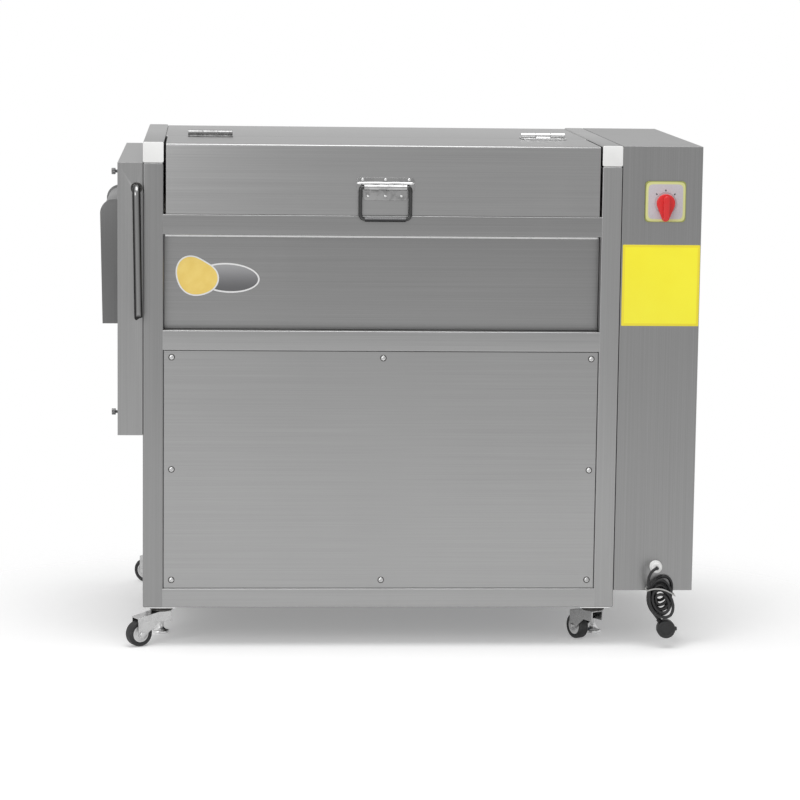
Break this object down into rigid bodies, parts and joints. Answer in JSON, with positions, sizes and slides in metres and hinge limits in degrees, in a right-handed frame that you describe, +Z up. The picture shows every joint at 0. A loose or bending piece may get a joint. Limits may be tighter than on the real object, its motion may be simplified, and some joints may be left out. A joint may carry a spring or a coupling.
{
  "type": "brush-roller potato washing and peeling machine",
  "caption": "Stainless brush-roller vegetable washer and peeler on casters, with a lifting lid, a swinging discharge door, a side drive cabinet and a rotary switch.",
  "frame": {"origin": "the middle of the machine's footprint, on the floor, measured without its mains cord", "axes": "+X to the right as the front is faced (along the brush rollers, towards the drive cabinet), +Y to the back, +Z up"},
  "size_m": [1.178, 0.7083, 1.0071],
  "materials": {
    "brushed_stainless": "brushed",
    "polished_steel": "polished",
    "dark_steel": "dark, oiled",
    "white_plastic": "matte",
    "black_plastic": "matte",
    "black_rubber": "matte",
    "red_plastic": "gloss",
    "pale_plastic": "matte",
    "motor_paint": "paint",
    "nylon_bristle": "bristle"
  },
  "bodies": {
    "frame": {"front_frame": "brushed_stainless", "rear_frame": "brushed_stainless", "top_rail_left": "brushed_stainless", "bottom_rail_left": "brushed_stainless", "rail_plug_left": "white_plastic", "top_rail_right": "brushed_stainless", "bottom_rail_right": "brushed_stainless", "rail_plug_right": "white_plastic", "left_side_plate": "brushed_stainless", "right_side_plate": "brushed_stainless", "roller_chain": "dark_steel", "drive_chain": "dark_steel", "gear_motor": "motor_paint", "water_hopper": "brushed_stainless", "spray_pipe": "brushed_stainless", "lower_front_panel": "brushed_stainless", "upper_front_panel": "brushed_stainless", "rear_panel": "brushed_stainless", "rear_top_plate": "brushed_stainless", "hinge_left_rear_leaf": "polished_steel", "hinge_right_rear_leaf": "polished_steel", "left_end_cover": "brushed_stainless", "drive_cabinet": "brushed_stainless", "switch_plate": "pale_plastic", "cord_gland": "white_plastic", "cord_hank": "black_rubber", "cord_tail": "black_rubber", "mains_plug": "black_rubber", "cord_tie": "black_plastic"},
    "lid_body": {"lid": "brushed_stainless", "hinge_left_lid_leaf": "polished_steel", "hinge_right_lid_leaf": "polished_steel", "handle_plate": "polished_steel"},
    "bail": {"handle_bail": "polished_steel", "handle_grip": "black_plastic"},
    "door": {"discharge_door": "dark_steel", "door_lever": "polished_steel"},
    "knob": {"switch_knob": "red_plastic"},
    "swivel_front_left": {"caster_fork_front_left": "polished_steel"},
    "wheel_front_left": {"caster_wheel_front_left": "black_rubber"},
    "foot_front_left": {"levelling_foot_front_left": "polished_steel"},
    "swivel_front_right": {"caster_fork_front_right": "polished_steel"},
    "wheel_front_right": {"caster_wheel_front_right": "black_rubber"},
    "foot_front_right": {"levelling_foot_front_right": "polished_steel"},
    "swivel_rear_left": {"caster_fork_rear_left": "polished_steel"},
    "wheel_rear_left": {"caster_wheel_rear_left": "black_rubber"},
    "foot_rear_left": {"levelling_foot_rear_left": "polished_steel"},
    "swivel_rear_right": {"caster_fork_rear_right": "polished_steel"},
    "wheel_rear_right": {"caster_wheel_rear_right": "black_rubber"},
    "foot_rear_right": {"levelling_foot_rear_right": "polished_steel"},
    "roller_1": {"brush_roller_1": "nylon_bristle"},
    "roller_2": {"brush_roller_2": "nylon_bristle"},
    "roller_3": {"brush_roller_3": "nylon_bristle"},
    "roller_4": {"brush_roller_4": "nylon_bristle"},
    "roller_5": {"brush_roller_5": "nylon_bristle"},
    "roller_6": {"brush_roller_6": "nylon_bristle"},
    "roller_7": {"brush_roller_7": "nylon_bristle"},
    "roller_8": {"brush_roller_8": "nylon_bristle"},
    "roller_9": {"brush_roller_9": "nylon_bristle"},
    "drive": {"drive_sprocket": "dark_steel"}
  },
  "joints": [
    {"name": "lid_hinge", "type": "hinge", "parent": "frame", "child": "lid_body", "pos_m": [-0.035, -0.05969, 1.0013], "axis": [-1, 0, 0], "range_deg": [0, 100]},
    {"name": "handle_pivot", "type": "hinge", "parent": "lid_body", "child": "bail", "pos_m": [-0.032, -0.32584, 0.913], "axis": [-1, 0, 0], "range_deg": [0, 90]},
    {"name": "door_hinge", "type": "hinge", "parent": "frame", "child": "door", "pos_m": [-0.514, 0.00681, 0.908], "axis": [0, 1, 0], "range_deg": [0, 60]},
    {"name": "switch_turn", "type": "hinge", "parent": "frame", "child": "knob", "pos_m": [0.5165, -0.32429, 0.8865], "axis": [0, -1, 0], "range_deg": [-45, 45]},
    {"name": "swivel_front_left", "type": "hinge", "parent": "frame", "child": "swivel_front_left", "pos_m": [-0.466, -0.28369, 0.08], "axis": [0, 0, 1], "continuous": true},
    {"name": "wheel_spin_front_left", "type": "hinge", "parent": "swivel_front_left", "child": "wheel_front_left", "pos_m": [-0.50973, -0.30793, 0.026], "axis": [0.4848, -0.8746, 0], "continuous": true},
    {"name": "foot_screw_front_left", "type": "slide", "parent": "frame", "child": "foot_front_left", "axis": [0, 0, 1], "range_m": [-0.012, 0]},
    {"name": "swivel_front_right", "type": "hinge", "parent": "frame", "child": "swivel_front_right", "pos_m": [0.396, -0.28369, 0.08], "axis": [0, 0, 1], "continuous": true},
    {"name": "wheel_spin_front_right", "type": "hinge", "parent": "swivel_front_right", "child": "wheel_front_right", "pos_m": [0.371, -0.24039, 0.026], "axis": [-0.866, -0.5, 0], "continuous": true},
    {"name": "foot_screw_front_right", "type": "slide", "parent": "frame", "child": "foot_front_right", "axis": [0, 0, 1], "range_m": [-0.012, 0]},
    {"name": "swivel_rear_left", "type": "hinge", "parent": "frame", "child": "swivel_rear_left", "pos_m": [-0.466, 0.29731, 0.08], "axis": [0, 0, 1], "continuous": true},
    {"name": "wheel_spin_rear_left", "type": "hinge", "parent": "swivel_rear_left", "child": "wheel_rear_left", "pos_m": [-0.5084, 0.3238, 0.026], "axis": [-0.5299, -0.848, 0], "continuous": true},
    {"name": "foot_screw_rear_left", "type": "slide", "parent": "frame", "child": "foot_rear_left", "axis": [0, 0, 1], "range_m": [-0.012, 0]},
    {"name": "swivel_rear_right", "type": "hinge", "parent": "frame", "child": "swivel_rear_right", "pos_m": [0.396, 0.29731, 0.08], "axis": [0, 0, 1], "continuous": true},
    {"name": "wheel_spin_rear_right", "type": "hinge", "parent": "swivel_rear_right", "child": "wheel_rear_right", "pos_m": [0.3477, 0.28437, 0.026], "axis": [0.2588, -0.9659, 0], "continuous": true},
    {"name": "foot_screw_rear_right", "type": "slide", "parent": "frame", "child": "foot_rear_right", "axis": [0, 0, 1], "range_m": [-0.012, 0]},
    {"name": "roller_spin_1", "type": "hinge", "parent": "frame", "child": "roller_1", "pos_m": [-0.035, -0.2282, 0.83], "axis": [1, 0, 0], "continuous": true},
    {"name": "roller_spin_2", "type": "hinge", "parent": "frame", "child": "roller_2", "pos_m": [-0.035, -0.21031, 0.74007], "axis": [1, 0, 0], "continuous": true},
    {"name": "roller_spin_3", "type": "hinge", "parent": "frame", "child": "roller_3", "pos_m": [-0.035, -0.15937, 0.66383], "axis": [1, 0, 0], "continuous": true},
    {"name": "roller_spin_4", "type": "hinge", "parent": "frame", "child": "roller_4", "pos_m": [-0.035, -0.08313, 0.61289], "axis": [1, 0, 0], "continuous": true},
    {"name": "roller_spin_5", "type": "hinge", "parent": "frame", "child": "roller_5", "pos_m": [-0.035, 0.00681, 0.595], "axis": [1, 0, 0], "continuous": true},
    {"name": "roller_spin_6", "type": "hinge", "parent": "frame", "child": "roller_6", "pos_m": [-0.035, 0.09674, 0.61289], "axis": [1, 0, 0], "continuous": true},
    {"name": "roller_spin_7", "type": "hinge", "parent": "frame", "child": "roller_7", "pos_m": [-0.035, 0.17298, 0.66383], "axis": [1, 0, 0], "continuous": true},
    {"name": "roller_spin_8", "type": "hinge", "parent": "frame", "child": "roller_8", "pos_m": [-0.035, 0.22392, 0.74007], "axis": [1, 0, 0], "continuous": true},
    {"name": "roller_spin_9", "type": "hinge", "parent": "frame", "child": "roller_9", "pos_m": [-0.035, 0.24181, 0.83], "axis": [1, 0, 0], "continuous": true},
    {"name": "drive_spin", "type": "hinge", "parent": "frame", "child": "drive", "pos_m": [0.458, 0.00681, 0.28], "axis": [1, 0, 0], "continuous": true}
  ],
  "couplings": [
    {"joint": "roller_spin_1", "follows": "roller_spin_5", "ratio": 1},
    {"joint": "roller_spin_2", "follows": "roller_spin_5", "ratio": 1},
    {"joint": "roller_spin_3", "follows": "roller_spin_5", "ratio": 1},
    {"joint": "roller_spin_4", "follows": "roller_spin_5", "ratio": 1},
    {"joint": "roller_spin_6", "follows": "roller_spin_5", "ratio": 1},
    {"joint": "roller_spin_7", "follows": "roller_spin_5", "ratio": 1},
    {"joint": "roller_spin_8", "follows": "roller_spin_5", "ratio": 1},
    {"joint": "roller_spin_9", "follows": "roller_spin_5", "ratio": 1},
    {"joint": "drive_spin", "follows": "roller_spin_5", "ratio": 1}
  ]
}
